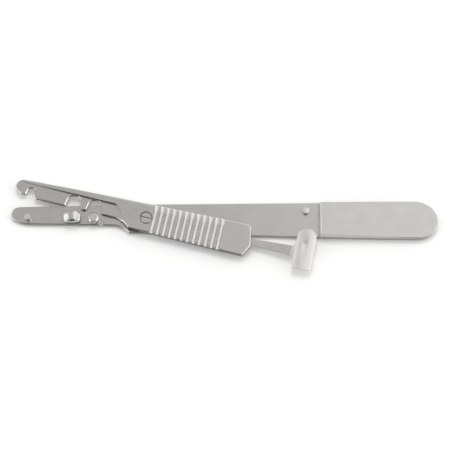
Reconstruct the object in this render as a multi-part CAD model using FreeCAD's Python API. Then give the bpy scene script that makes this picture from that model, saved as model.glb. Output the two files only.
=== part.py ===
import FreeCAD, Part
import math
import os

# Scalpel handle with a side lever that grips and ejects the blade.
# X runs from the pivot towards the butt, Y across the handle and Z up.
# The origin is on the pivot axis at the underside.
# The lever and its catch are drawn closed, over the body, and turned open at the end.

V = FreeCAD.Vector

# Body, seen from above
nose_x = -44.4
neck_top_y = 4.24
nose_top_radius = 2.4
nose_foot_y = 0.4
nose_foot_radius = 2.0
neck_front_x = -40.55
neck_front_y = -1.48
neck_front_radius = 8.0
grip_top_y = 5.2
swell_x = -8.0
swell_y = -1.92
swell_radius = 7.9
grip_corner_x = -5.72
grip_corner_y = -4.42
grip_corner_radius = 0.4
step_top_y = 5.74
step_bottom_y = -6.1
butt_start_x = 88.6
butt_top_y = 5.95
butt_bottom_y = -6.62
butt_reach = 7.1
butt_lean = 0.05

# Body, thicknesses
plate_thickness = 1.8
block_front_height = 4.1
block_rear_height = 2.4
block_bevel = 0.4
draft_start_height = 2.5
draft_inset = 0.4
edge_break = 0.2
overshoot = 1.0

# Pins and studs, each on a thinner tenon riveted through the plate
seat_clearance = 0.01
tenon_share = 0.65
rivet_flare = 0.3
rivet_depth = 0.4
front_pin_x = -38.95
front_pin_y = 0.5
front_pin_radius = 1.0
front_pin_height = 1.9
catch_pin_y = 2.7
catch_pin_radius = 1.0
pin_crown = 0.2
boss_x = -24.33
boss_y = 0.43
boss_post_radius = 1.45
boss_head_length = 5.7
boss_head_width = 3.9
boss_head_corner = 1.7
boss_head_height = 1.3
boss_head_crown = 0.6
boss_rim_radius = 0.5
blade_gap = 0.45
stud_x = -17.25
stud_y = 0.1
stud_radius = 1.7
stud_height = 2.55
stud_chamfer = 0.3
stud_pip_radius = 0.2
stud_pip_depth = 0.12
locating_pin_x = -14.9
locating_pin_y = -1.2
locating_pin_radius = 0.85
locating_pin_proud = 0.05

# Lever
open_angle = 12.3
lever_gap = 0.05
lever_thickness = 2.2
web_thickness = 1.1
lever_nose_x = -44.65
lever_front_y = 4.57
lever_nose_radius = 2.5
hook_side_y = 1.6
hook_side_radius = 1.2
hook_foot_x = -42.6
hook_foot_y = -0.45
hook_foot_radius = 2.6
hook_tip_reach = 1.8
hook_tip_y = -0.42
hook_tip_radius = 0.3
notch_clearance = 0.15
notch_depth = 0.7
notch_flare = 0.35
notch_lip_radius = 0.7
web_front_y = -1.05
web_rear_y = -1.8
cutout_shift = -0.17
cutout_side_clearance = 0.2
cutout_top_clearance = 0.7
cutout_flare = 0.82
cutout_top_radius = 1.85
cutout_mouth_radius = 0.3
tongue_radius = 0.75
lever_swell_x = -7.6
lever_swell_radius = 8.2
lever_corner_x = -5.1
lever_corner_y = -4.42
lever_corner_radius = 0.35
lever_rear_x = 34.2
lever_rear_top_y = 5.1
lever_rear_top_radius = 1.7
lever_tail_x = 35.5
lever_tail_y = -1.9
lever_tail_radius = 2.4
lever_rear_bottom_x = 33.4
lever_rear_bottom_y = -5.7
lever_rear_bottom_radius = 0.6
back_edge_radius = 0.55

# Blade recess in the lever
recess_front_y = 3.74
recess_rear_x = -10.6
recess_rear_y = 2.55
recess_corner_radius = 0.3
shoulder_mid_x = -8.4
shoulder_mid_y = 0.5
shoulder_foot_x = -7.2
shoulder_foot_y = -4.0
shoulder_radius = 3.0
rim_low_x = -45.15
rim_full_x = -24.0

# Grip grooves across the lever
groove_count = 12
groove_pitch = 2.02
groove_first_x = 2.7
groove_width = 1.3
groove_depth = 0.7

# Pivot screw
screw_shoulder_radius = 1.5
screw_running_clearance = 0.04
screw_head_radius = 1.95
screw_head_height = 0.8
screw_head_gap = 0.12
slot_width = 0.4
slot_depth = 0.45
slot_angle = -14.0

# Spring catch
leaf_start_x = 27.2
leaf_width = 2.2
leaf_y = -0.35
bar_end_width = 3.3
bar_end_y = -0.6
leaf_thickness = 0.6
leaf_end_gap = 0.1
leaf_relief = 0.5
leaf_side_gap = 0.15
thumb_start_x = 49.6
thumb_length_x = 6.3
thumb_top_y = 7.5
thumb_bottom_y = -6.3
thumb_thickness = 0.9
thumb_rise = 1.0
thumb_crown = 0.55
thumb_top_radius = 2.9
thumb_corner_radius = 1.0
thumb_foot_radius = 0.3
thumb_neck_radius = 0.9
thumb_pin_reach = 2.9
thumb_pin_clearance = 0.1
step_gap = 1.0
home_turn = 0.7
dimple_radius = 1.15
dimple_depth = 0.12
dimple_slope = 0.5
hollow_clearance = 0.1
hollow_depth = 0.3


def rounded_edges(corners, closed=True):
    """Straight edges through the corners (x, y, radius), each corner rounded by its own arc.

    Two roundings that would meet on a side are both made smaller until they fit.
    """
    count = len(corners)
    points = [V(x, y, 0) for x, y, radius in corners]
    half_turns = []
    reaches = []
    for index, (x, y, radius) in enumerate(corners):
        if radius == 0 or (not closed and index in (0, count - 1)):
            half_turns.append(0)
            reaches.append(0)
            continue
        before = points[index - 1] - points[index]
        after = points[(index + 1) % count] - points[index]
        half_turn = (math.pi - before.getAngle(after)) / 2
        half_turns.append(half_turn)
        reaches.append(radius * math.tan(half_turn))
    side_share = 0.98
    fitted = list(reaches)
    for index in range(count if closed else count - 1):
        following = (index + 1) % count
        side = side_share * (points[following] - points[index]).Length
        wanted = reaches[index] + reaches[following]
        if wanted > side:
            for corner in (index, following):
                fitted[corner] = min(fitted[corner], reaches[corner] * side / wanted)
    starts = []
    ends = []
    edges = []
    for index in range(count):
        here = points[index]
        if fitted[index] == 0:
            starts.append(here)
            ends.append(here)
            continue
        before = (points[index - 1] - here).normalize()
        after = (points[(index + 1) % count] - here).normalize()
        inward = (before + after).normalize()
        radius = fitted[index] / math.tan(half_turns[index])
        middle = here + inward * (radius / math.cos(half_turns[index]) - radius)
        starts.append(here + before * fitted[index])
        ends.append(here + after * fitted[index])
        edges.append(Part.Arc(starts[-1], middle, ends[-1]).toShape())
    for index in range(count if closed else count - 1):
        edges.append(Part.LineSegment(ends[index], starts[(index + 1) % count]).toShape())
    return edges


def prism(edges, low, high):
    """Solid between two heights with the given closed outline."""
    face = Part.Face(Part.Wire(Part.__sortEdges__(edges)))
    face.translate(V(0, 0, low))
    return face.extrude(V(0, 0, high - low))


def side_slab(points, low_y, high_y):
    """Solid with a straight-edged side view (x, z), as deep as the two y values."""
    corners = [V(x, low_y, z) for x, z in points]
    face = Part.Face(Part.makePolygon(corners + corners[:1]))
    return face.extrude(V(0, high_y - low_y, 0))


def turned(x, y, profile):
    """Solid turned about the upright axis at (x, y) from (radius, z) points."""
    corners = [V(radius, 0, z) for radius, z in profile]
    face = Part.Face(Part.makePolygon(corners + corners[:1]))
    solid = face.revolve(V(0, 0, 0), V(0, 0, 1), 360)
    solid.translate(V(x, y, 0))
    return solid


def riveted_foot(radius):
    """Profile points of a tenon that fills its hole, flared below, up to the shoulder above it."""
    tenon = tenon_share * radius
    return [
        (0, 0),
        (tenon + rivet_flare, 0),
        (tenon, rivet_depth),
        (tenon, plate_thickness),
        (radius, plate_thickness),
    ]


def rivet_hole(x, y, radius):
    """Cutter for the hole in the plate that a riveted tenon fills."""
    reach = tenon_share * radius + seat_clearance
    return turned(x, y, [
        (0, -overshoot),
        (reach + rivet_flare, -overshoot),
        (reach + rivet_flare, 0),
        (reach, rivet_depth),
        (reach, plate_thickness + overshoot),
        (0, plate_thickness + overshoot),
    ])


def domed_pin(x, y, radius, height):
    """Riveted round pin with a low domed top."""
    top = plate_thickness + height
    shank = turned(x, y, riveted_foot(radius) + [(radius, top - pin_crown), (0, top - pin_crown)])
    sphere_radius = (radius ** 2 + pin_crown ** 2) / (2 * pin_crown)
    ball = Part.makeSphere(sphere_radius, V(x, y, top - sphere_radius))
    dome = Part.makeCylinder(radius, pin_crown, V(x, y, top - pin_crown)).common(ball)
    return shank.fuse(dome).removeSplitter()


# Heights and places that follow from the values above
lever_bottom = plate_thickness + lever_gap
web_top = lever_bottom + web_thickness
lever_top = lever_bottom + lever_thickness
leaf_bottom = lever_bottom + lever_gap
thumb_bottom = leaf_bottom + thumb_rise
crest_bottom = thumb_bottom + thumb_crown
catch_pin_height = crest_bottom - thumb_pin_clearance - plate_thickness
catch_pin_x = thumb_start_x + thumb_pin_reach
step_x = thumb_start_x + thumb_length_x + step_gap


def butt_end():
    """Half ellipse, leaning a little forward at the top, that closes the butt."""
    half_width = (butt_top_y - butt_bottom_y) / 2
    middle_y = (butt_top_y + butt_bottom_y) / 2
    arc = Part.Arc(V(0, half_width, 0), V(half_width, 0, 0), V(0, -half_width, 0)).toShape()
    stretch = FreeCAD.Matrix()
    stretch.scale(butt_reach / half_width, 1, 1)
    stretch.A12 = -butt_lean
    arc = arc.transformGeometry(stretch)
    arc.translate(V(butt_start_x, middle_y, 0))
    return arc


def body_outline():
    """Outline of the body: nose, slim neck, swell and grip, straight to the rounded butt."""
    lean = butt_lean * (butt_top_y - butt_bottom_y) / 2
    corners = [
        (butt_start_x - lean, butt_top_y, 0),
        (step_x, step_top_y, 0),
        (0, grip_top_y, 0),
        (nose_x, neck_top_y, nose_top_radius),
        (nose_x, nose_foot_y, nose_foot_radius),
        (neck_front_x, neck_front_y, neck_front_radius),
        (swell_x, swell_y, swell_radius),
        (grip_corner_x, grip_corner_y, grip_corner_radius),
        (step_x, step_bottom_y, 0),
        (butt_start_x + lean, butt_bottom_y, 0),
    ]
    return rounded_edges(corners, closed=False) + [butt_end()]


def side_draft(front_y, rear_y):
    """Cutter that slopes one long side of the block inwards from a given height up."""
    outward = math.copysign(1, front_y)
    top_z = block_front_height + overshoot
    slope = draft_inset / (block_front_height - draft_start_height)
    corners = [
        V(step_x, front_y, draft_start_height),
        V(step_x, front_y - outward * slope * (top_z - draft_start_height), top_z),
        V(step_x, front_y + outward * overshoot, top_z),
        V(step_x, front_y + outward * overshoot, draft_start_height),
    ]
    run = V(butt_start_x - step_x, rear_y - front_y, 0)
    run_share = (butt_start_x + butt_reach + overshoot - step_x) / run.x
    return Part.Face(Part.makePolygon(corners + corners[:1])).extrude(run * run_share)


def upward_faces(solid):
    """Faces of the solid that look up, level or at a slight slope."""
    least_rise = 0.9
    return [face for face in solid.Faces if face.normalAt(0, 0).z > least_rise]


def broken_top(solid):
    """The solid with the edges round its largest upward face broken by a small chamfer."""
    top = max(upward_faces(solid), key=lambda face: face.Area)
    return solid.makeChamfer(edge_break, top.Edges)


def make_body():
    """Thin plate in front and thick block behind, milled from one bar."""
    butt_x = butt_start_x + butt_reach
    plate = broken_top(prism(body_outline(), 0, plate_thickness))
    side = [
        (step_x, 0),
        (step_x, block_front_height - block_bevel),
        (step_x + block_bevel, block_front_height),
        (butt_x + overshoot, block_rear_height),
        (butt_x + overshoot, 0),
    ]
    bar = prism(body_outline(), 0, block_front_height + overshoot)
    block = broken_top(bar.common(side_slab(side, butt_bottom_y - overshoot, butt_top_y + overshoot)))
    block = block.cut([side_draft(step_top_y, butt_top_y), side_draft(step_bottom_y, butt_bottom_y)])
    holes = [
        rivet_hole(front_pin_x, front_pin_y, front_pin_radius),
        rivet_hole(boss_x, boss_y, boss_post_radius),
        rivet_hole(stud_x, stud_y, stud_radius),
        rivet_hole(catch_pin_x, catch_pin_y, catch_pin_radius),
        rivet_hole(0, 0, screw_shoulder_radius),
        Part.makeCylinder(
            locating_pin_radius + seat_clearance,
            plate_thickness + 2 * overshoot,
            V(locating_pin_x, locating_pin_y, -overshoot),
        ),
    ]
    return plate.fuse(block).removeSplitter().cut(holes)


def make_boss():
    """Blade boss: round post under an oblong pillow head that the blade's slot slides under."""
    underside = web_top + blade_gap
    top = underside + boss_head_height
    half_x = boss_head_length / 2
    half_y = boss_head_width / 2
    corners = [
        (half_x, half_y, boss_head_corner),
        (-half_x, half_y, boss_head_corner),
        (-half_x, -half_y, boss_head_corner),
        (half_x, -half_y, boss_head_corner),
    ]
    crown_radius = (half_x ** 2 + boss_head_crown ** 2) / (2 * boss_head_crown)
    ball = Part.makeSphere(crown_radius, V(0, 0, top - crown_radius), V(0, 1, 0))
    head = prism(rounded_edges(corners), underside, top).common(ball)
    crown = max(head.Faces, key=lambda face: face.BoundBox.ZMax)
    head = head.makeFillet(boss_rim_radius, crown.Edges)
    head.translate(V(boss_x, boss_y, 0))
    foot = riveted_foot(boss_post_radius)
    post = turned(boss_x, boss_y, foot + [(boss_post_radius, underside), (0, underside)])
    return post.fuse(head).removeSplitter()


def make_stud():
    """Flat-topped round stud with a chamfered rim and a small centre mark."""
    top = plate_thickness + stud_height
    return turned(stud_x, stud_y, riveted_foot(stud_radius) + [
        (stud_radius, top - stud_chamfer),
        (stud_radius - stud_chamfer, top),
        (stud_pip_radius, top),
        (0, top - stud_pip_depth),
    ])


def make_locating_pin():
    """Plain pressed pin, all but flush with the plate."""
    top = plate_thickness + locating_pin_proud
    return turned(locating_pin_x, locating_pin_y, [
        (0, 0),
        (locating_pin_radius, 0),
        (locating_pin_radius, top - locating_pin_proud),
        (locating_pin_radius - locating_pin_proud, top),
        (0, top),
    ])


def make_screw():
    """Slotted shoulder screw: the lever turns on its shoulder, its end is riveted in the plate."""
    head_bottom = lever_top - screw_head_height
    profile = riveted_foot(screw_shoulder_radius) + [
        (screw_shoulder_radius, head_bottom),
        (screw_head_radius, head_bottom),
        (screw_head_radius, lever_top - edge_break),
        (screw_head_radius - edge_break, lever_top),
        (0, lever_top),
    ]
    screw = turned(0, 0, profile)
    reach = screw_head_radius + overshoot
    corner = V(-reach, -slot_width / 2, lever_top - slot_depth)
    slot = Part.makeBox(2 * reach, slot_width, slot_depth + overshoot, corner)
    slot.rotate(V(0, 0, 0), V(0, 0, 1), slot_angle)
    return screw.cut(slot)


def web_edge_y(x):
    """Lower edge of the lever's web, a straight line from the hook to the swell."""
    share = (x - front_pin_x) / (lever_swell_x - front_pin_x)
    return web_front_y + share * (web_rear_y - web_front_y)


def cutout_corners(stud_centre_x, top_y, left_radius, right_radius):
    """Mouth with a round top that tapers from the web's lower edge up over a stud."""
    centre_x = stud_centre_x + cutout_shift
    half_top = max(boss_post_radius, stud_radius) + cutout_side_clearance
    left_x = centre_x - half_top - cutout_flare
    right_x = centre_x + half_top + cutout_flare
    return [
        (left_x, web_edge_y(left_x), left_radius),
        (centre_x - half_top, top_y, cutout_top_radius),
        (centre_x + half_top, top_y, cutout_top_radius),
        (right_x, web_edge_y(right_x), right_radius),
    ]


def lever_outline():
    """Outline of the closed lever, from its rear corner along the back edge to the hook."""
    notch_half = front_pin_radius + notch_clearance
    notch_top = front_pin_y + front_pin_radius + notch_depth
    lip_x = front_pin_x + notch_half + notch_flare
    boss_top = boss_y + boss_post_radius + cutout_top_clearance
    stud_top = stud_y + stud_radius + cutout_top_clearance
    corners = [
        (lever_rear_x, lever_rear_top_y, lever_rear_top_radius),
        (lever_nose_x, lever_front_y, lever_nose_radius),
        (lever_nose_x, hook_side_y, hook_side_radius),
        (hook_foot_x, hook_foot_y, hook_foot_radius),
        (front_pin_x - hook_tip_reach, hook_tip_y, hook_tip_radius),
        (front_pin_x - notch_half, notch_top, notch_half),
        (front_pin_x + notch_half, notch_top, notch_half),
        (lip_x, web_edge_y(lip_x), notch_lip_radius),
    ]
    corners += cutout_corners(boss_x, boss_top, cutout_mouth_radius, tongue_radius)
    corners += cutout_corners(stud_x, stud_top, tongue_radius, cutout_mouth_radius)
    corners += [
        (lever_swell_x, web_rear_y, lever_swell_radius),
        (lever_corner_x, lever_corner_y, lever_corner_radius),
        (lever_rear_bottom_x, lever_rear_bottom_y, lever_rear_bottom_radius),
        (lever_tail_x, lever_tail_y, lever_tail_radius),
    ]
    return rounded_edges(corners)


def recess_area(low, high):
    """The recess that the blade lies in, with its slanted shoulder, between two heights."""
    corners = [
        (lever_nose_x - overshoot, recess_front_y, 0),
        (lever_nose_x - overshoot, lever_rear_bottom_y, 0),
        (shoulder_foot_x, lever_rear_bottom_y, 0),
        (shoulder_foot_x, shoulder_foot_y, 0),
        (shoulder_mid_x, shoulder_mid_y, shoulder_radius),
        (recess_rear_x, recess_rear_y, recess_corner_radius),
    ]
    return prism(rounded_edges(corners), low, high)


def rim_slope():
    """Cutter that runs the rim of the recess down to the hook."""
    clear = lever_top + overshoot
    points = [(rim_low_x, web_top), (rim_full_x, lever_top), (rim_full_x, clear), (rim_low_x, clear)]
    return side_slab(points, lever_rear_bottom_y, lever_front_y + overshoot)


def grip_grooves():
    """Round-bottomed grooves across the lever."""
    radius = ((groove_width / 2) ** 2 + groove_depth ** 2) / (2 * groove_depth)
    low_y = lever_rear_bottom_y - overshoot
    high_y = lever_rear_top_y + overshoot
    grooves = []
    for index in range(groove_count):
        start = V(groove_first_x + index * groove_pitch, low_y, lever_top - groove_depth + radius)
        grooves.append(Part.makeCylinder(radius, high_y - low_y, start, V(0, 1, 0)))
    return grooves


def leaf_channel():
    """Cutter for the underside channel that holds the spring leaf and lets it lift."""
    half_width = leaf_width / 2 + leaf_side_gap
    end_x = lever_tail_x + overshoot
    below = lever_bottom - overshoot
    roof = leaf_bottom + leaf_thickness + lever_gap
    front_x = leaf_start_x - leaf_end_gap
    points = [(front_x, below), (front_x, roof), (end_x, roof + leaf_relief), (end_x, below)]
    return side_slab(points, leaf_y - half_width, leaf_y + half_width)


def lever_blank():
    """Lever before its lower side is shaped: rim sloped to the nose, back edge and tail rounded."""
    corners = [
        (lever_rear_x, lever_rear_top_y, lever_rear_top_radius),
        (lever_nose_x, lever_front_y, lever_nose_radius),
        (lever_nose_x, lever_rear_bottom_y, 0),
        (lever_rear_bottom_x, lever_rear_bottom_y, 0),
        (lever_tail_x, lever_tail_y, lever_tail_radius),
    ]
    blank = prism(rounded_edges(corners), lever_bottom, lever_top).cut(rim_slope())
    rim_edges = []
    for edge in [edge for face in upward_faces(blank) for edge in face.Edges]:
        lower_side = edge.BoundBox.YMax < lever_rear_bottom_y + edge_break
        across = edge.BoundBox.XLength < edge_break and edge.CenterOfMass.x > lever_nose_x + edge_break
        if not lower_side and not across:
            rim_edges.append(edge)
    return blank.makeFillet(back_edge_radius, rim_edges)


def make_lever():
    """Lever with hook, tapered cut-outs, blade recess, grip grooves and rear pad."""
    lever = lever_blank().common(broken_top(prism(lever_outline(), lever_bottom, lever_top)))
    web = broken_top(prism(lever_outline(), lever_bottom, web_top))
    web_edge = recess_area(lever_bottom, web_top).cut(web)
    lever = lever.cut([recess_area(web_top, lever_top + overshoot), web_edge, leaf_channel()])
    lever = lever.cut(grip_grooves())
    bore = turned(0, 0, [
        (0, 0),
        (screw_shoulder_radius + screw_running_clearance, 0),
        (screw_shoulder_radius + screw_running_clearance, lever_top - screw_head_height - lever_gap),
        (screw_head_radius + screw_head_gap, lever_top - screw_head_height - lever_gap),
        (screw_head_radius + screw_head_gap, lever_top + overshoot),
        (0, lever_top + overshoot),
    ])
    return lever.cut(bore)


def thumb_arc(sag_x, low_z, rise):
    """Arc over the thumb piece in side view, from its front edge to its rear edge."""
    middle_x = sag_x + thumb_length_x / 2
    end_x = sag_x + thumb_length_x
    return Part.Arc(V(sag_x, 0, low_z), V(middle_x, 0, low_z + rise), V(end_x, 0, low_z)).toShape()


def make_catch():
    """Spring leaf that rises to a crowned T-shaped thumb piece, dimpled over the catch pin.

    The lever goes home a little past the place it is drawn in, and the dimple and the hollow
    under it stand over the pin there.
    """
    leaf_top = leaf_bottom + leaf_thickness
    thumb_end = thumb_start_x + thumb_length_x
    thumb_top = thumb_bottom + thumb_thickness
    bend_x = lever_tail_x
    edges = [
        Part.LineSegment(V(leaf_start_x, 0, leaf_top), V(leaf_start_x, 0, leaf_bottom)).toShape(),
        Part.LineSegment(V(leaf_start_x, 0, leaf_bottom), V(bend_x, 0, leaf_bottom)).toShape(),
        Part.LineSegment(V(bend_x, 0, leaf_bottom), V(thumb_start_x, 0, thumb_bottom)).toShape(),
        thumb_arc(thumb_start_x, thumb_bottom, thumb_crown),
        Part.LineSegment(V(thumb_end, 0, thumb_bottom), V(thumb_end, 0, thumb_top)).toShape(),
        thumb_arc(thumb_start_x, thumb_top, thumb_crown),
        Part.LineSegment(V(thumb_start_x, 0, thumb_top), V(bend_x, 0, leaf_top)).toShape(),
        Part.LineSegment(V(bend_x, 0, leaf_top), V(leaf_start_x, 0, leaf_top)).toShape(),
    ]
    face = Part.Face(Part.Wire(Part.__sortEdges__(edges)))
    strip = face.extrude(V(0, thumb_top_y - thumb_bottom_y, 0))
    strip.translate(V(0, thumb_bottom_y, 0))
    leaf_half = leaf_width / 2
    bar_half = bar_end_width / 2
    corners = [
        (bend_x, leaf_y + leaf_half, 0),
        (leaf_start_x, leaf_y + leaf_half, 0),
        (leaf_start_x, leaf_y - leaf_half, 0),
        (bend_x, leaf_y - leaf_half, 0),
        (thumb_start_x, bar_end_y - bar_half, thumb_neck_radius),
        (thumb_start_x, thumb_bottom_y, thumb_foot_radius),
        (thumb_end, thumb_bottom_y, thumb_corner_radius),
        (thumb_end, thumb_top_y, thumb_top_radius),
        (thumb_start_x, thumb_top_y, thumb_top_radius),
        (thumb_start_x, bar_end_y + bar_half, thumb_neck_radius),
    ]
    catch = strip.common(prism(rounded_edges(corners), 0, thumb_top + 2 * thumb_crown))
    crest_top = thumb_top + thumb_crown
    dimple = turned(catch_pin_x, catch_pin_y, [
        (0, crest_top - dimple_depth),
        (dimple_radius - dimple_slope, crest_top - dimple_depth),
        (dimple_radius, crest_top),
        (dimple_radius, crest_top + overshoot),
        (0, crest_top + overshoot),
    ])
    hollow_radius = catch_pin_radius + hollow_clearance
    foot = V(catch_pin_x, catch_pin_y, crest_bottom - overshoot)
    hollow = Part.makeCylinder(hollow_radius, overshoot + hollow_depth, foot)
    for cutter in (dimple, hollow):
        cutter.rotate(V(0, 0, 0), V(0, 0, 1), -home_turn)
    return catch.cut([dimple, hollow])


def opened(shape):
    """Turn a closed piece of the lever about the pivot to where it rests open."""
    turned_shape = shape.copy()
    turned_shape.rotate(V(0, 0, 0), V(0, 0, 1), -open_angle)
    return turned_shape


def main():
    os.makedirs("parts", exist_ok=True)
    pieces = {
        "handle_body": make_body(),
        "front_hook_pin": domed_pin(front_pin_x, front_pin_y, front_pin_radius, front_pin_height),
        "blade_boss": make_boss(),
        "blade_stud": make_stud(),
        "locating_pin": make_locating_pin(),
        "catch_pin": domed_pin(catch_pin_x, catch_pin_y, catch_pin_radius, catch_pin_height),
        "pivot_screw": make_screw(),
        "lever": opened(make_lever()),
        "spring_catch": opened(make_catch()),
    }
    for name, shape in pieces.items():
        shape.exportStep("parts/" + name + ".step")
        box = shape.BoundBox
        print(name, shape.isValid(), len(shape.Solids), round(shape.Volume, 3),
              [round(v, 2) for v in (box.XMin, box.XMax, box.YMin, box.YMax, box.ZMin, box.ZMax)])


main()
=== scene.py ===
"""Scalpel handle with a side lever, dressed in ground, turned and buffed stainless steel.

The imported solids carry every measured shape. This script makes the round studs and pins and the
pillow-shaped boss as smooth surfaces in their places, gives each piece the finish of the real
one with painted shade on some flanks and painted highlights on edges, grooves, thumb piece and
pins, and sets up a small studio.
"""
import math

import bpy
import numpy as np
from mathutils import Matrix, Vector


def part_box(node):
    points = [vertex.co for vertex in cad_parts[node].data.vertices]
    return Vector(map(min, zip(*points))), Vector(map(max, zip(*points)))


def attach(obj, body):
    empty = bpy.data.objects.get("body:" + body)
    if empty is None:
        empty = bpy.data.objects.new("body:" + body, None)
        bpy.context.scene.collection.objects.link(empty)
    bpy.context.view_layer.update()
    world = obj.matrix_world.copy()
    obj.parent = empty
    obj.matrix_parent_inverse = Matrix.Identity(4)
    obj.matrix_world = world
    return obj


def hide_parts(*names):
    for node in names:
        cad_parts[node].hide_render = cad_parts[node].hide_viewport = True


bl_info = {
    "name": "Scalpel handle with side lever",
    "version": (1, 0, 0),
    "blender": (4, 5, 0),
    "location": "View3D > Sidebar > Scalpel handle",
    "description": "Studs, pins, steel finishes and studio for a scalpel handle",
    "category": "Object",
}

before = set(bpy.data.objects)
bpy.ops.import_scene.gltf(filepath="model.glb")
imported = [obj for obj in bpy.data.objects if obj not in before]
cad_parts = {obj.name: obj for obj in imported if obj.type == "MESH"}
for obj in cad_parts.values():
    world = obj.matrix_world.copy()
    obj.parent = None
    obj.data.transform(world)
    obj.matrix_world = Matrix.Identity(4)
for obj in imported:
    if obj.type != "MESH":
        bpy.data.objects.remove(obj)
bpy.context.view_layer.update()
MM = 0.001
# The lever and its catch rest this far open, and their grain lies that much off the body's
OPEN_ANGLE = math.radians(12.3)
# How far the new pieces stand clear of the floor, in mm
SEAT = 0.02
# How far back from a turned corner its rounding starts, in mm
CORNER_CUT = 0.06
# Rings of a domed end, from its rim to its middle
DOME_STEPS = 11
# How far a normal may lean across the grain inside a zone with a finish of its own
LEAN = 0.35
# A Mix node gives a plain number as its first result and a colour as its third
NUMBER_RESULT, COLOUR_RESULT = 0, 2


def middle(node):
    """Centre of a node's box seen from above, in millimetres."""
    low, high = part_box(node)
    return [(low[axis] + high[axis]) / 2 / MM for axis in (0, 1)]


def span(node, axis):
    """Length of a node's box along an axis, in millimetres."""
    low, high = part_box(node)
    return (high[axis] - low[axis]) / MM


def hex_colour(text):
    """Linear red, green and blue of an sRGB hex value."""
    values = np.array([int(text[index:index + 2], 16) for index in (0, 2, 4)]) / 255
    linear = np.where(values <= 0.04045, values / 12.92, ((values + 0.055) / 1.055) ** 2.4)
    return tuple(float(value) for value in linear)


def tinted(colour, share):
    """Opaque colour that is a share of the given one, no channel above 1."""
    return (*[min(1.0, value * share) for value in colour], 1)


class HandleFinish(bpy.types.PropertyGroup):
    """Colours and roughness of the steel finishes."""

    ground: bpy.props.FloatVectorProperty(
        name="Ground steel", description="Colour of the satin-ground body and lever",
        default=hex_colour("CAC8C4"), size=3, min=0, max=1, subtype="COLOR",
    )
    # Lighter than the ground steel: a painted highlight in the grip grooves, which are also rougher
    milled: bpy.props.FloatVectorProperty(
        name="Milled steel", description="Colour of the grip grooves, which are left as milled",
        default=hex_colour("EBEAE7"), size=3, min=0, max=1, subtype="COLOR",
    )
    strip: bpy.props.FloatVectorProperty(
        name="Spring strip", description="Colour of the rolled strip of the catch",
        default=hex_colour("D4D2CE"), size=3, min=0, max=1, subtype="COLOR",
    )
    # A painted highlight: the thumb piece is drawn lighter than the strip
    thumb_highlighted: bpy.props.FloatVectorProperty(
        name="Thumb piece", description="Colour of the catch's thumb piece",
        default=hex_colour("E5E4E1"), size=3, min=0, max=1, subtype="COLOR",
    )
    turned: bpy.props.FloatVectorProperty(
        name="Turned steel", description="Colour of the pivot screw and the flush pin",
        default=hex_colour("CECCC8"), size=3, min=0, max=1, subtype="COLOR",
    )
    # A painted highlight: the pins are drawn lighter than the turned steel
    faced: bpy.props.FloatVectorProperty(
        name="Faced steel", description="Colour of the pins, whose ends are faced bright",
        default=hex_colour("E8E6E2"), size=3, min=0, max=1, subtype="COLOR",
    )
    buffed: bpy.props.FloatVectorProperty(
        name="Buffed steel", description="Colour of the buffed boss and of the stud",
        default=hex_colour("DAD8D4"), size=3, min=0, max=1, subtype="COLOR",
    )
    ground_roughness: bpy.props.FloatProperty(
        name="Ground roughness", description="How far ground steel blurs what it mirrors",
        default=0.28, min=0, max=1,
    )
    mark_width: bpy.props.FloatProperty(
        name="Grinding mark", description="Width of a grinding mark across the grain, in mm",
        default=0.3, min=0.02, max=2,
    )
    flank_roughness: bpy.props.FloatProperty(
        name="Flank roughness", description="How far the polished flanks blur what they mirror",
        default=0.14, min=0, max=1,
    )
    # Painted shade: the share of the colour that the steep faces of body and strip keep, darker
    # towards the floor
    body_flank_shade: bpy.props.FloatProperty(
        name="Body flank tone",
        description="Share of the colour that the flanks of body and strip keep",
        default=0.6, min=0, max=1,
    )
    # Painted shade: the share of the colour that the lever's steep faces keep
    lever_flank_shade: bpy.props.FloatProperty(
        name="Lever flank tone",
        description="Share of the colour that the lever's dark flanks keep",
        default=0.3, min=0, max=1,
    )
    edge_radius: bpy.props.FloatProperty(
        name="Edge rounding", description="Rounding that tumbling leaves on the edges, in mm",
        default=0.12, min=0.01, max=1,
    )
    groove_roughness: bpy.props.FloatProperty(
        name="Groove roughness",
        description="How far the milled grip grooves blur what they mirror",
        default=0.28, min=0, max=1,
    )


class StudSizes(bpy.types.PropertyGroup):
    """Sizes of the boss, the stud and the pins, in millimetres."""

    head_height: bpy.props.FloatProperty(
        name="Boss head", description="Height of the boss head, in mm", default=1.3, min=0.5, max=3,
    )
    head_crown: bpy.props.FloatProperty(
        name="Boss crown", description="Rise of the boss head from its ends to its middle, in mm",
        default=0.6, min=0.1, max=2,
    )
    head_rim: bpy.props.FloatProperty(
        name="Boss rim", description="Rounding of the boss head's upper rim, in mm",
        default=0.5, min=0.1, max=1,
    )
    post_radius: bpy.props.FloatProperty(
        name="Boss post", description="Radius of the post under the boss head, in mm",
        default=1.45, min=0.5, max=3,
    )
    stud_chamfer: bpy.props.FloatProperty(
        name="Stud chamfer", description="Width of the stud's chamfer, in mm",
        default=0.3, min=0.05, max=1,
    )
    pip_radius: bpy.props.FloatProperty(
        name="Centre mark", description="Radius of the stud's centre mark, in mm",
        default=0.2, min=0.05, max=1,
    )
    pin_crown: bpy.props.FloatProperty(
        name="Pin crown", description="Rise of the pins' domed ends, in mm",
        default=0.02, min=0.01, max=1,
    )
    tenon_share: bpy.props.FloatProperty(
        name="Tenon", description="Radius of a tenon in the plate as a share of its pin's",
        default=0.65, min=0.3, max=1,
    )
    plate: bpy.props.FloatProperty(
        name="Plate", description="Thickness of the plate that the pins stand on, in mm",
        default=1.8, min=0.5, max=4,
    )


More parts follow.
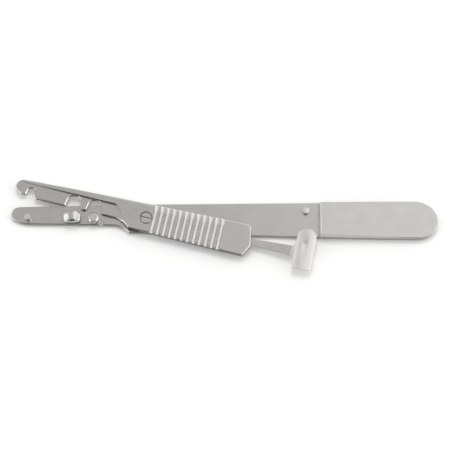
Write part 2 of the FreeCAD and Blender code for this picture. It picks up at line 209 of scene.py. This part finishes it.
class StudioLight(bpy.types.PropertyGroup):
    """Levels of the lamps, the surroundings and the floor."""

    sky: bpy.props.FloatProperty(
        name="Surroundings", description="Level of the soft light from all round",
        default=1.0, min=0, max=4,
    )
    camera_shade: bpy.props.FloatProperty(
        name="Camera shade",
        description="Share of light that the dark camera above the handle takes away",
        default=0.88, min=0, max=1,
    )
    front_shade: bpy.props.FloatProperty(
        name="Front shade", description="Share of light that the dark room in front takes away",
        default=0.92, min=0, max=1,
    )
    window: bpy.props.FloatProperty(
        name="Window",
        description="Level that the upper left window adds, and two low ones in multiples",
        default=1.0, min=0, max=4,
    )
    key_watts: bpy.props.FloatProperty(
        name="Key lamp", description="Power of the soft lamp behind the handle, in watts",
        default=0.65, min=0, max=20,
    )
    floor: bpy.props.FloatVectorProperty(
        name="Floor", description="Colour of the floor's paper", default=hex_colour("F2F2F1"),
        size=3, min=0, max=1, subtype="COLOR",
    )
    floor_glow: bpy.props.FloatProperty(
        name="Floor white", description="Level added where the camera sees the floor",
        default=0.14, min=0, max=1,
    )
    mirrored_glow: bpy.props.FloatProperty(
        name="Mirrored white", description="Share of the floor white where metal mirrors the floor",
        default=0.7, min=0, max=1,
    )


def rounded_profile(points, cuts, steps=6):
    """Profile with each corner replaced by a short curve.

    For a corner P with cut length c, the curve is the quadratic blend
    (1-t)^2 A + 2 t (1-t) P + t^2 B, where A and B lie c before and after P.
    """
    corner = np.array(points, float)
    before = np.roll(corner, 1, axis=0) - corner
    after = np.roll(corner, -1, axis=0) - corner
    cut = np.array(cuts, float)[:, None]
    start = corner + before / np.maximum(np.linalg.norm(before, axis=1), 1e-9)[:, None] * cut
    end = corner + after / np.maximum(np.linalg.norm(after, axis=1), 1e-9)[:, None] * cut
    t = np.linspace(0, 1, steps)[None, :, None]
    toward, away = (1 - t) ** 2 * start[:, None], t ** 2 * end[:, None]
    curve = toward + 2 * t * (1 - t) * corner[:, None] + away
    flat = curve.reshape(-1, 2)
    keep = np.ones(len(flat), bool)
    keep[1:] = np.linalg.norm(np.diff(flat, axis=0), axis=1) > 1e-6
    return flat[keep]


def grid_mesh(name, grid):
    """Closed surface from rings of points (rings, around, 3), each end ring closed by one point.

    The first and the last ring are single poles. Faces run round each ring and join it to the
    next, so the surface is a tube closed at both ends.
    """
    rings, around = grid.shape[:2]
    inner = grid[1:-1].reshape(-1, 3)
    points = np.concatenate([grid[:1, 0], inner, grid[-1:, 0]])
    step = np.arange(around)
    following = (step + 1) % around
    rows = 1 + around * np.arange(rings - 3)[:, None]
    quads = np.stack(
        [rows + step, rows + following, rows + around + following, rows + around + step], -1,
    )
    first = np.stack([np.zeros_like(step), 1 + following, 1 + step], -1)
    base = 1 + around * (rings - 3)
    last = np.stack([np.full_like(step, len(points) - 1), base + step, base + following], -1)
    faces = quads.reshape(-1, 4).tolist() + first.tolist() + last.tolist()
    mesh = bpy.data.meshes.new(name)
    mesh.from_pydata((points * MM).tolist(), [], faces)
    mesh.update()
    mesh.polygons.foreach_set("use_smooth", np.ones(len(mesh.polygons), bool))
    piece = bpy.data.objects.new(name, mesh)
    bpy.context.scene.collection.objects.link(piece)
    return piece


def turned_grid(profile, centre, around=96):
    """Rings of a profile (radius, height) turned about the upright line through the centre.

    A point at angle a is (cx + r cos a, cy + r sin a, z).
    """
    angle = np.linspace(0, 2 * np.pi, around, endpoint=False)
    radius, height = profile[:, :1], profile[:, 1:]
    x = centre[0] + radius * np.cos(angle)
    y = centre[1] + radius * np.sin(angle)
    return np.stack([x, y, height + 0 * angle], -1)


def shank(radius, sizes):
    """Profile of a pin's tenon in the plate and of its shoulder on it, as (radius, height)."""
    tenon = radius * sizes.tenon_share
    return [(0, SEAT), (tenon, SEAT), (tenon, sizes.plate), (radius, sizes.plate)]


def pillow_grid(half_x, half_y, top, sizes, around=144):
    """Rings of the boss head, from the middle of its flat underside to the middle of its crown.

    The outline is |x/a|^n + |y/b|^n = 1 with n 2.9, an oblong with round corners. The crown is a
    sphere's cap, top - R + sqrt(R^2 - x^2 - y^2). Within r of the outline it falls by a quarter
    circle: at turn t from the wall the ring lies r (1 - cos t) inside and r (1 - sin t) lower.
    """
    squareness = 2.9
    lip = 0.05
    angle = np.linspace(0, 2 * np.pi, around, endpoint=False)
    across = half_x * np.sign(np.cos(angle)) * np.abs(np.cos(angle)) ** (2 / squareness)
    along = half_y * np.sign(np.sin(angle)) * np.abs(np.sin(angle)) ** (2 / squareness)
    reach = np.hypot(across, along)
    turn = np.linspace(0, np.pi / 2, 9)
    inset = np.concatenate([[lip, 0], sizes.head_rim * (1 - np.cos(turn))])
    outer = 1 - inset[:, None] / reach
    inner = outer[-1] * np.linspace(1, 0, 17)[1:, None]
    foot = sizes.post_radius / half_x + 0 * reach
    share = np.concatenate([[0 * reach, foot], outer, inner])
    fall = np.zeros(len(share))
    fall[4:4 + len(turn)] = sizes.head_rim * (1 - np.sin(turn))
    ball = (half_x ** 2 + sizes.head_crown ** 2) / (2 * sizes.head_crown)
    height = top - ball + np.sqrt(ball ** 2 - (share * reach) ** 2) - fall[:, None]
    under = top - sizes.head_height
    height[:3] = under
    height[3] = under + lip
    return np.stack([share * across, share * along, height], -1)


def give(piece, material):
    """Give a piece one material in every slot."""
    piece.data.materials.clear()
    piece.data.materials.append(material)


def stand_for(piece, node, material):
    """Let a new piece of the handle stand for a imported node, with its finish."""
    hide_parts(node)
    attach(piece, "handle")
    give(piece, material)


def finish_node(node, material, corner=28, flat=False):
    """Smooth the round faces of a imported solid, keep its corners sharp and give it a finish.

    On a flat piece, each large face also keeps its own shading up to its chamfers.
    """
    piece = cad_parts[node]
    piece.data.polygons.foreach_set("use_smooth", np.ones(len(piece.data.polygons), bool))
    weld = piece.modifiers.new("Weld", "WELD")
    weld.merge_threshold = 0.0005 * MM
    split = piece.modifiers.new("Corners", "EDGE_SPLIT")
    split.split_angle = math.radians(corner)
    split.use_edge_sharp = False
    if flat:
        shading = piece.modifiers.new("Flat faces", "WEIGHTED_NORMAL")
        shading.mode = "FACE_AREA"
        shading.weight = 100
        shading.keep_sharp = True
    give(piece, material)


def add(tree, kind, inputs, **settings):
    """Node with its settings set and its inputs, by name or number, given a value or a link."""
    node = tree.nodes.new(kind)
    for key, value in settings.items():
        setattr(node, key, value)
    for key, value in inputs.items():
        socket = node.inputs[key]
        if isinstance(key, str):
            socket = next(item for item in node.inputs if item.name == key and item.enabled)
        if isinstance(value, bpy.types.NodeSocket):
            tree.links.new(value, socket)
        else:
            socket.default_value = value
    return node


def new_material(name, metallic):
    """Node material with its tree and shader."""
    material = bpy.data.materials.new(name)
    material.use_nodes = True
    tree = material.node_tree
    tree.nodes.clear()
    shader = add(tree, "ShaderNodeBsdfPrincipled", {"Metallic": metallic})
    add(tree, "ShaderNodeOutputMaterial", {"Surface": shader.outputs["BSDF"]})
    return material, tree, shader


def worn_and_highlit_colour(tree, place, streaks, edge_turn, colour):
    """Colour socket of ground steel: faintly streaked and clouded, and paler on worn edges, which
    also paints a highlight along them.
    """
    cloud_size = 4
    clouds = add(
        tree, "ShaderNodeTexNoise",
        {
            "Vector": place.outputs["Object"], "Scale": 1 / (cloud_size * MM),
            "Detail": 3.0, "Roughness": 0.5,
        },
    )
    mottle = add(
        tree, "ShaderNodeMath", {0: streaks.outputs["Fac"], 1: 0.3, 2: clouds.outputs["Fac"]},
        operation="MULTIPLY_ADD",
    )
    shade = add(
        tree, "ShaderNodeMapRange",
        {"Value": mottle.outputs["Value"], "From Min": 0.4, "From Max": 0.9},
    )
    ramp = add(tree, "ShaderNodeValToRGB", {"Fac": shade.outputs["Result"]})
    ramp.color_ramp.elements[0].color = tinted(colour, 0.96)
    ramp.color_ramp.elements[1].color = tinted(colour, 1.04)
    # Edges 15 % paler where the soft normal turns off the true one: partly wear, partly a painted
    # highlight
    wear_and_highlight = add(
        tree, "ShaderNodeMapRange",
        {
            "Value": edge_turn.outputs["Value"], "From Min": 0.8, "From Max": 1.0,
            "To Min": 1.0, "To Max": 0.0,
        },
    )
    return add(
        tree, "ShaderNodeMix",
        {
            "Factor": wear_and_highlight.outputs["Result"], "A": ramp.outputs["Color"],
            "B": tinted(colour, 1.15),
        },
        data_type="RGBA",
    ).outputs[COLOUR_RESULT]


def zone_mask(tree, spot, normal, along_grain, in_height):
    """Socket that is 1 inside a zone, given by its middle and half length in mm both ways.

    The rounded edges beside a zone lean across the grain, and the zone hardly does, so that a
    face whose normal leans more than LEAN that way is left out.
    """
    within = add(
        tree, "ShaderNodeMath", {0: normal.outputs["Y"], 1: 0.0, 2: LEAN}, operation="COMPARE",
    ).outputs["Value"]
    for axis, (centre, half) in (("X", along_grain), ("Z", in_height)):
        near = add(
            tree, "ShaderNodeMath", {0: spot.outputs[axis], 1: centre * MM, 2: half * MM},
            operation="COMPARE",
        )
        within = add(
            tree, "ShaderNodeMath", {0: near.outputs["Value"], 1: within}, operation="MULTIPLY",
        ).outputs["Value"]
    return within


def paint_flank_shade(tree, spot, steep, tone, colour, flank):
    """Colour socket with painted shade on the flanks, darker towards one end of them.

    The painted shade on the flanks is given by the share of the colour they keep, the axis of
    the grain's frame along which it changes, and where on it, in mm, it is full and where it ends.
    """
    kept, axis, full, end = flank
    reach = add(
        tree, "ShaderNodeMapRange",
        {
            "Value": spot.outputs[axis], "From Min": full * MM, "From Max": end * MM,
            "To Min": 1.0, "To Max": 0.0,
        },
    )
    # Painted shade on the steep faces, fading out along the given axis
    painted_shade = add(
        tree, "ShaderNodeMath", {0: steep.outputs["Result"], 1: reach.outputs["Result"]},
        operation="MULTIPLY",
    )
    return add(
        tree, "ShaderNodeMix",
        {"Factor": painted_shade.outputs["Value"], "A": tone, "B": tinted(colour, kept)},
        data_type="RGBA",
    ).outputs[COLOUR_RESULT]


def ground_steel(name, colour, roughness, grain_angle, finish, flank, zone=None):
    """Martensitic stainless steel, milled, then ground along its length and satin finished.

    To the eye: even grey flats with faint long marks and a slight clouding, smoother flanks that
    mirror what lies beside them, darkened with painted shade, and edges burnished paler by tumbling
    and use, which also paints a highlight along them. A zone has a finish of its own: the middle
    and half length of where it lies, along the grain and in height, in mm, then its colour, here a
    painted highlight, and its roughness. For the painted shade, see paint_flank_shade.
    """
    material, tree, shader = new_material(name, 1.0)
    place = add(tree, "ShaderNodeTexCoord", {})
    grain = add(
        tree, "ShaderNodeMapping",
        {"Vector": place.outputs["Object"], "Rotation": (0, 0, grain_angle)},
    )
    # Real marks are about 0.02 mm wide. They are drawn coarser, mark_width wide, to show.
    mark_length, mark_depth = 12, 0.005
    across = 1 / (finish.mark_width * MM)
    marks = add(
        tree, "ShaderNodeMapping",
        {"Vector": grain.outputs["Vector"], "Scale": (1 / (mark_length * MM), across, across)},
    )
    streaks = add(
        tree, "ShaderNodeTexNoise",
        {"Vector": marks.outputs["Vector"], "Scale": 1.0, "Detail": 4.0, "Roughness": 0.6},
    )
    facing = add(tree, "ShaderNodeNewGeometry", {})
    soft_edge = add(tree, "ShaderNodeBevel", {"Radius": finish.edge_radius * MM}, samples=6)
    edge_turn = add(
        tree, "ShaderNodeVectorMath",
        {0: soft_edge.outputs["Normal"], 1: facing.outputs["True Normal"]}, operation="DOT_PRODUCT",
    )
    tone = worn_and_highlit_colour(tree, place, streaks, edge_turn, colour)
    blur = add(
        tree, "ShaderNodeMapRange",
        {
            "Value": streaks.outputs["Fac"], "From Min": 0.3, "From Max": 0.7,
            "To Min": roughness - 0.02, "To Max": roughness + 0.03,
        },
    )
    spot = add(tree, "ShaderNodeSeparateXYZ", {"Vector": grain.outputs["Vector"]})
    normal = add(tree, "ShaderNodeSeparateXYZ", {"Vector": facing.outputs["True Normal"]})
    steep = add(
        tree, "ShaderNodeMapRange",
        {
            "Value": normal.outputs["Z"], "From Min": 0.3, "From Max": 0.6,
            "To Min": 1.0, "To Max": 0.0,
        },
    )
    rough = add(
        tree, "ShaderNodeMix",
        {
            "Factor": steep.outputs["Result"], "A": blur.outputs["Result"],
            "B": finish.flank_roughness,
        },
    ).outputs[NUMBER_RESULT]
    if zone:
        along_grain, in_height, zone_colour, zone_roughness = zone
        within = zone_mask(tree, spot, normal, along_grain, in_height)
        rough = add(
            tree, "ShaderNodeMix", {"Factor": within, "A": rough, "B": zone_roughness},
        ).outputs[NUMBER_RESULT]
        # A zone's own colour, here a painted highlight in the grooves and on the thumb piece
        tone = add(
            tree, "ShaderNodeMix", {"Factor": within, "A": tone, "B": (*zone_colour, 1)},
            data_type="RGBA",
        ).outputs[COLOUR_RESULT]
    # Painted shade on the steep flanks
    tone = paint_flank_shade(tree, spot, steep, tone, colour, flank)
    tree.links.new(tone, shader.inputs["Base Color"])
    tree.links.new(rough, shader.inputs["Roughness"])
    relief = add(
        tree, "ShaderNodeBump",
        {
            "Height": streaks.outputs["Fac"], "Normal": soft_edge.outputs["Normal"],
            "Strength": 0.1, "Distance": mark_depth * MM,
        },
    )
    tree.links.new(relief.outputs["Normal"], shader.inputs["Normal"])
    return material


def turned_steel(name, colour, roughness, centre):
    """Stainless steel bar turned on a lathe and left bright.

    To the eye: fine rings round the piece's own axis over a slightly uneven grey.
    """
    material, tree, shader = new_material(name, 1.0)
    place = add(tree, "ShaderNodeTexCoord", {})
    centred = add(
        tree, "ShaderNodeMapping",
        {"Vector": place.outputs["Object"], "Location": (-centre[0] * MM, -centre[1] * MM, 0)},
    )
    # Feed marks of a finishing cut are about 0.05 mm apart and are drawn at 0.15 mm to show.
    # At a scale of 1, a wave node repeats every 2 pi / 20, here in metres.
    feed, mark_depth, patch_size, edge_radius = 0.15, 0.004, 0.8, 0.06
    rings = add(
        tree, "ShaderNodeTexWave",
        {
            "Vector": centred.outputs["Vector"], "Scale": math.pi / 10 / (feed * MM),
            "Distortion": 0.4, "Detail": 1.0,
        },
        wave_type="RINGS", rings_direction="Z",
    )
    uneven = add(
        tree, "ShaderNodeTexNoise",
        {"Vector": place.outputs["Object"], "Scale": 1 / (patch_size * MM), "Detail": 3.0},
    )
    ramp = add(tree, "ShaderNodeValToRGB", {"Fac": uneven.outputs["Fac"]})
    ramp.color_ramp.elements[0].position = 0.3
    ramp.color_ramp.elements[0].color = tinted(colour, 0.92)
    ramp.color_ramp.elements[1].position = 0.7
    ramp.color_ramp.elements[1].color = tinted(colour, 1.05)
    tree.links.new(ramp.outputs["Color"], shader.inputs["Base Color"])
    blur = add(
        tree, "ShaderNodeMapRange",
        {"Value": rings.outputs["Fac"], "To Min": roughness - 0.04, "To Max": roughness + 0.06},
    )
    tree.links.new(blur.outputs["Result"], shader.inputs["Roughness"])
    soft_edge = add(tree, "ShaderNodeBevel", {"Radius": edge_radius * MM}, samples=4)
    relief = add(
        tree, "ShaderNodeBump",
        {
            "Height": rings.outputs["Fac"], "Normal": soft_edge.outputs["Normal"],
            "Strength": 0.1, "Distance": mark_depth * MM,
        },
    )
    tree.links.new(relief.outputs["Normal"], shader.inputs["Normal"])
    return material


def buffed_steel(name, colour, roughness):
    """Stainless steel buffed on a soft wheel.

    To the eye: nearly a mirror, with faint hairlines from handling.
    """
    material, tree, shader = new_material(name, 1.0)
    place = add(tree, "ShaderNodeTexCoord", {})
    # Hairlines are about 0.01 mm wide and are drawn 0.1 mm wide and 3 mm long to show
    line_length, line_width, haze_size = 3, 0.1, 1.5
    lines = add(
        tree, "ShaderNodeMapping",
        {
            "Vector": place.outputs["Object"], "Rotation": (0, 0, 0.6),
            "Scale": (1 / (line_length * MM), 1 / (line_width * MM), 1 / (line_width * MM)),
        },
    )
    hairlines = add(
        tree, "ShaderNodeTexNoise",
        {"Vector": lines.outputs["Vector"], "Scale": 1.0, "Detail": 3.0},
    )
    haze = add(
        tree, "ShaderNodeTexNoise",
        {"Vector": place.outputs["Object"], "Scale": 1 / (haze_size * MM), "Detail": 2.0},
    )
    ramp = add(tree, "ShaderNodeValToRGB", {"Fac": haze.outputs["Fac"]})
    ramp.color_ramp.elements[0].color = tinted(colour, 0.95)
    ramp.color_ramp.elements[1].color = tinted(colour, 1.04)
    tree.links.new(ramp.outputs["Color"], shader.inputs["Base Color"])
    blur = add(
        tree, "ShaderNodeMapRange",
        {
            "Value": hairlines.outputs["Fac"], "From Min": 0.35, "From Max": 0.75,
            "To Min": roughness, "To Max": roughness + 0.08,
        },
    )
    tree.links.new(blur.outputs["Result"], shader.inputs["Roughness"])
    return material


class SCALPEL_OT_body(bpy.types.Operator):
    """Give the body and the flush pin their ground and turned finishes."""

    bl_idname = "scalpel.body"
    bl_label = "Body"

    def execute(self, context):
        finish = context.scene.scalpel_finish
        # The flanks get painted shade, growing from 3.5 mm above the floor down to 0.5 mm
        flank = (finish.body_flank_shade, "Z", 0.5, 3.5)
        finish_node("handle_body", ground_steel(
            "Satin-ground stainless steel body", finish.ground[:], finish.ground_roughness,
            0.0, finish, flank,
        ), corner=20, flat=True)
        finish_node("locating_pin", turned_steel(
            "Turned stainless steel flush pin", finish.turned[:], 0.3, middle("locating_pin"),
        ))
        return {"FINISHED"}


class SCALPEL_OT_lever(bpy.types.Operator):
    """Give the lever and its pivot screw their finishes."""

    bl_idname = "scalpel.lever"
    bl_label = "Lever and screw"

    def execute(self, context):
        finish = context.scene.scalpel_finish
        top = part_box("lever")[1][2] / MM
        # The grooves lie 1.9 to 25.7 mm behind the pivot and 0.03 to 0.77 mm under the lever's top
        along_lever = (13.8, 11.9)
        in_height = (top - 0.4, 0.37)
        # The grooves' lighter colour is a painted highlight
        grooves = (along_lever, in_height, finish.milled[:], finish.groove_roughness)
        # All flanks but the long outer one, more than 3.5 mm beyond the pivot, get painted shade
        flank = (finish.lever_flank_shade, "Y", 3.0, 3.5)
        finish_node("lever", ground_steel(
            "Satin-ground stainless steel lever", finish.ground[:], finish.ground_roughness,
            OPEN_ANGLE, finish, flank, grooves,
        ), flat=True)
        finish_node("pivot_screw", turned_steel(
            "Turned stainless steel screw", finish.turned[:], 0.26, (0, 0),
        ))
        return {"FINISHED"}


class SCALPEL_OT_catch(bpy.types.Operator):
    """Give the spring catch the finish of rolled and ground spring strip."""

    bl_idname = "scalpel.catch"
    bl_label = "Spring catch"

    def execute(self, context):
        finish = context.scene.scalpel_finish
        # The thumb piece lies 48.5 to 57.5 mm behind the pivot and gets a lighter colour, a painted
        # highlight, at every height
        along_catch = (53.0, 4.5)
        in_height = (2.5, 2.5)
        thumb_roughness = finish.ground_roughness + 0.1
        thumb_piece = (along_catch, in_height, finish.thumb_highlighted[:], thumb_roughness)
        # The flanks get painted shade, growing from 4 mm above the floor down to it
        flank = (finish.body_flank_shade, "Z", 0.0, 4.0)
        finish_node("spring_catch", ground_steel(
            "Rolled stainless spring strip", finish.strip[:], finish.ground_roughness,
            OPEN_ANGLE, finish, flank, thumb_piece,
        ))
        return {"FINISHED"}


class SCALPEL_OT_boss(bpy.types.Operator):
    """Make the buffed boss: a pillow-shaped head on a round post."""

    bl_idname = "scalpel.boss"
    bl_label = "Blade boss"

    def execute(self, context):
        sizes = context.scene.scalpel_studs
        finish = context.scene.scalpel_finish
        centre = middle("blade_boss")
        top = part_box("blade_boss")[1][2] / MM
        under = top - sizes.head_height
        grid = pillow_grid(span("blade_boss", 0) / 2, span("blade_boss", 1) / 2, top, sizes)
        head = grid_mesh("boss_head", grid + np.array([*centre, 0]))
        radius = sizes.post_radius
        # The post ends a little inside the head
        end = under + 2 * SEAT
        points = shank(radius, sizes) + [(radius, end), (0, end)]
        profile = rounded_profile(points, [0] * len(points))
        post = grid_mesh("boss_post", turned_grid(profile, centre))
        material = buffed_steel("Buffed stainless steel", finish.buffed[:], 0.08)
        stand_for(head, "blade_boss", material)
        stand_for(post, "blade_boss", material)
        return {"FINISHED"}


class SCALPEL_OT_stud(bpy.types.Operator):
    """Make the flat-topped stud with its chamfer and centre mark."""

    bl_idname = "scalpel.stud"
    bl_label = "Blade stud"

    def execute(self, context):
        sizes = context.scene.scalpel_studs
        finish = context.scene.scalpel_finish
        centre = middle("blade_stud")
        radius = span("blade_stud", 0) / 2
        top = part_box("blade_stud")[1][2] / MM
        mark_depth = 0.12
        points = shank(radius, sizes) + [
            (radius, top - sizes.stud_chamfer), (radius - sizes.stud_chamfer, top),
            (sizes.pip_radius, top), (0, top - mark_depth),
        ]
        profile = rounded_profile(points, [0, 0, 0, 0, CORNER_CUT, CORNER_CUT, CORNER_CUT / 2, 0])
        stud = grid_mesh("blade_stud_turned", turned_grid(profile, centre))
        stand_for(stud, "blade_stud", turned_steel(
            "Turned stainless steel stud", finish.buffed[:], 0.28, centre,
        ))
        return {"FINISHED"}


class SCALPEL_OT_pins(bpy.types.Operator):
    """Make the two domed pins, one for the hook and one for the catch."""

    bl_idname = "scalpel.pins"
    bl_label = "Domed pins"

    def execute(self, context):
        sizes = context.scene.scalpel_studs
        finish = context.scene.scalpel_finish
        for node, name, roughness in (
            ("front_hook_pin", "hook_pin_turned", 0.26), ("catch_pin", "catch_pin_turned", 0.24),
        ):
            centre = middle(node)
            radius = span(node, 0) / 2
            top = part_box(node)[1][2] / MM
            # The dome is a shallow parabola: its height above the rim is crown (1 - (r/R)^2)
            share = np.linspace(1, 0, DOME_STEPS + 1)[1:, None]
            dome = np.concatenate([radius * share, top - sizes.pin_crown * share ** 2], 1)
            rim = (radius, top - sizes.pin_crown)
            points = shank(radius, sizes) + [rim] + dome.tolist()
            profile = rounded_profile(points, [0, 0, 0, 0, CORNER_CUT] + [0] * len(dome))
            pin = grid_mesh(name, turned_grid(profile, centre))
            # The pins' lighter colour is a painted highlight on them
            stand_for(pin, node, turned_steel(
                "Turned stainless steel " + name, finish.faced[:], roughness, centre,
            ))
        return {"FINISHED"}


class SCALPEL_OT_stage(bpy.types.Operator):
    """Make the paper floor, the lamp, the surroundings and the camera."""

    bl_idname = "scalpel.stage"
    bl_label = "Studio"

    def execute(self, context):
        light = context.scene.scalpel_light
        scene = context.scene
        scene.view_settings.view_transform = "Standard"
        tilt = math.radians(16)
        toward_camera = (0, -math.sin(tilt), math.cos(tilt))
        self.make_floor(scene, light)
        self.make_surroundings(scene, light, toward_camera)

        lamp = bpy.data.lights.new("key_lamp", "AREA")
        lamp.shape = "DISK"
        lamp.size = 0.18
        lamp.energy = light.key_watts
        key = bpy.data.objects.new("key_lamp", lamp)
        key.location = (0.02, 0.19, 0.46)
        key.rotation_euler = (math.radians(-22), 0, 0)
        key.visible_glossy = False
        scene.collection.objects.link(key)

        lens = bpy.data.cameras.new("camera")
        lens.sensor_fit = "HORIZONTAL"
        lens.angle = math.radians(18)
        lens.clip_start = 0.01
        lens.clip_end = 5
        distance = 0.466
        target = np.array([0.025835, -0.00193, 0.002])
        camera = bpy.data.objects.new("camera", lens)
        camera.location = target + distance * np.array(toward_camera)
        camera.rotation_euler = (tilt, 0, 0)
        scene.collection.objects.link(camera)
        scene.camera = camera
        return {"FINISHED"}

    def make_floor(self, scene, light):
        """White paper, matt, that camera and metal see a little brighter than it is lit."""
        reach = 1.2
        drop = -0.02 * MM
        mesh = bpy.data.meshes.new("paper_floor")
        corners = [(-reach, -reach), (reach, -reach), (reach, reach), (-reach, reach)]
        mesh.from_pydata([(x, y, drop) for x, y in corners], [], [(0, 1, 2, 3)])
        floor = bpy.data.objects.new("paper_floor", mesh)
        scene.collection.objects.link(floor)
        material, tree, shader = new_material("White background paper", 0.0)
        shader.inputs["Base Color"].default_value = (*light.floor[:], 1)
        shader.inputs["Roughness"].default_value = 0.9
        shader.inputs["Specular IOR Level"].default_value = 0.1
        shader.inputs["Emission Color"].default_value = (1, 1, 1, 1)
        rays = add(tree, "ShaderNodeLightPath", {})
        seen = add(
            tree, "ShaderNodeMath",
            {
                0: rays.outputs["Is Glossy Ray"], 1: light.mirrored_glow,
                2: rays.outputs["Is Camera Ray"],
            },
            operation="MULTIPLY_ADD",
        )
        glow = add(
            tree, "ShaderNodeMath", {0: seen.outputs["Value"], 1: light.floor_glow},
            operation="MULTIPLY",
        )
        tree.links.new(glow.outputs["Value"], shader.inputs["Emission Strength"])
        give(floor, material)

    def make_surroundings(self, scene, light, toward_camera):
        """Soft room: levels by compass direction, two dark shapes and three windows."""
        world = bpy.data.worlds.new("Soft studio")
        scene.world = world
        world.use_nodes = True
        tree = world.node_tree
        tree.nodes.clear()
        place = add(tree, "ShaderNodeTexCoord", {})
        axes = add(tree, "ShaderNodeSeparateXYZ", {"Vector": place.outputs["Generated"]})
        # Level at each direction's X, from -1 at the left to 1 at the right: the handle's nose
        # mirrors the dim part left of the middle, and its block the brighter part right of it
        sideways = [
            (-1.0, 1.1), (-0.64, 0.7), (-0.3, 0.58), (-0.15, 0.53), (0.0, 0.68), (0.1, 0.96),
            (0.2, 1.16), (0.35, 0.98), (0.55, 0.88), (0.7, 1.5), (1.0, 1.4),
        ]
        # Level at each direction's Y, from -1 in front to 1 behind: the front is dimmer
        in_depth = [
            (-1.0, 0.5), (-0.5, 0.55), (-0.1, 0.9), (0.27, 1.0), (0.6, 1.05), (1.0, 1.05),
        ]
        # A curve holds 0 to 1, so the levels in both are halved, and the sky's is taken four times
        level = light.sky * 4
        for axis, stops in (("X", sideways), ("Y", in_depth)):
            share = add(tree, "ShaderNodeMapRange", {"Value": axes.outputs[axis], "From Min": -1.0})
            curve = add(tree, "ShaderNodeFloatCurve", {"Value": share.outputs["Result"]})
            points = curve.mapping.curves[0].points
            for direction, value in stops[1:-1]:
                points.new((direction + 1) / 2, value / 2)
            for index in (0, -1):
                points[index].location = ((stops[index][0] + 1) / 2, stops[index][1] / 2)
            curve.mapping.update()
            product = add(
                tree, "ShaderNodeMath", {0: curve.outputs["Value"], 1: level}, operation="MULTIPLY",
            )
            level = product.outputs["Value"]
        # Direction, degrees off it at which a patch is still full and has ended, and its change
        patches = (
            (toward_camera, 12, 20, -light.camera_shade),
            ((-0.1, -1.0, 0.15), 18, 32, -light.front_shade),
            ((-0.6, 0.18, 0.78), 12, 20, light.window),
            ((-0.8, -0.56, 0.22), 10, 20, 5 * light.window),
            ((0.93, -0.33, 0.15), 10, 22, 2.5 * light.window),
        )
        for direction, inner, outer, change in patches:
            length = math.dist((0, 0, 0), direction)
            nearness = add(
                tree, "ShaderNodeVectorMath",
                {0: place.outputs["Generated"], 1: [value / length for value in direction]},
                operation="DOT_PRODUCT",
            )
            patch = add(
                tree, "ShaderNodeMapRange",
                {
                    "Value": nearness.outputs["Value"], "From Min": math.cos(math.radians(outer)),
                    "From Max": math.cos(math.radians(inner)), "To Max": change,
                },
                interpolation_type="SMOOTHSTEP",
            )
            changed = add(
                tree, "ShaderNodeMath", {0: patch.outputs["Result"], 1: level, 2: level},
                operation="MULTIPLY_ADD",
            )
            level = changed.outputs["Value"]
        background = add(tree, "ShaderNodeBackground", {"Color": (1, 1, 1, 1), "Strength": level})
        add(tree, "ShaderNodeOutputWorld", {"Surface": background.outputs["Background"]})


class SCALPEL_PT_panel(bpy.types.Panel):
    """Lists the sizes, finishes and steps of the scalpel handle."""

    bl_label = "Scalpel handle"
    bl_idname = "SCALPEL_PT_panel"
    bl_space_type = "VIEW_3D"
    bl_region_type = "UI"
    bl_category = "Scalpel handle"

    def draw(self, context):
        scene = context.scene
        for group in (scene.scalpel_studs, scene.scalpel_finish, scene.scalpel_light):
            box = self.layout.box()
            for key in group.__annotations__:
                box.prop(group, key)
        for operator in STEPS:
            self.layout.operator(operator.bl_idname)


STEPS = (
    SCALPEL_OT_body, SCALPEL_OT_lever, SCALPEL_OT_catch, SCALPEL_OT_boss, SCALPEL_OT_stud,
    SCALPEL_OT_pins, SCALPEL_OT_stage,
)
CLASSES = (HandleFinish, StudSizes, StudioLight) + STEPS + (SCALPEL_PT_panel,)


def register():
    for item in CLASSES:
        bpy.utils.register_class(item)
    bpy.types.Scene.scalpel_finish = bpy.props.PointerProperty(type=HandleFinish)
    bpy.types.Scene.scalpel_studs = bpy.props.PointerProperty(type=StudSizes)
    bpy.types.Scene.scalpel_light = bpy.props.PointerProperty(type=StudioLight)


def unregister():
    del bpy.types.Scene.scalpel_light
    del bpy.types.Scene.scalpel_studs
    del bpy.types.Scene.scalpel_finish
    for item in reversed(CLASSES):
        bpy.utils.unregister_class(item)


def main():
    """Make every piece and the studio."""
    register()
    bpy.ops.scalpel.body()
    bpy.ops.scalpel.lever()
    bpy.ops.scalpel.catch()
    bpy.ops.scalpel.boss()
    bpy.ops.scalpel.stud()
    bpy.ops.scalpel.pins()
    bpy.ops.scalpel.stage()
    bpy.context.view_layer.update()


if __name__ == "__main__":
    main()
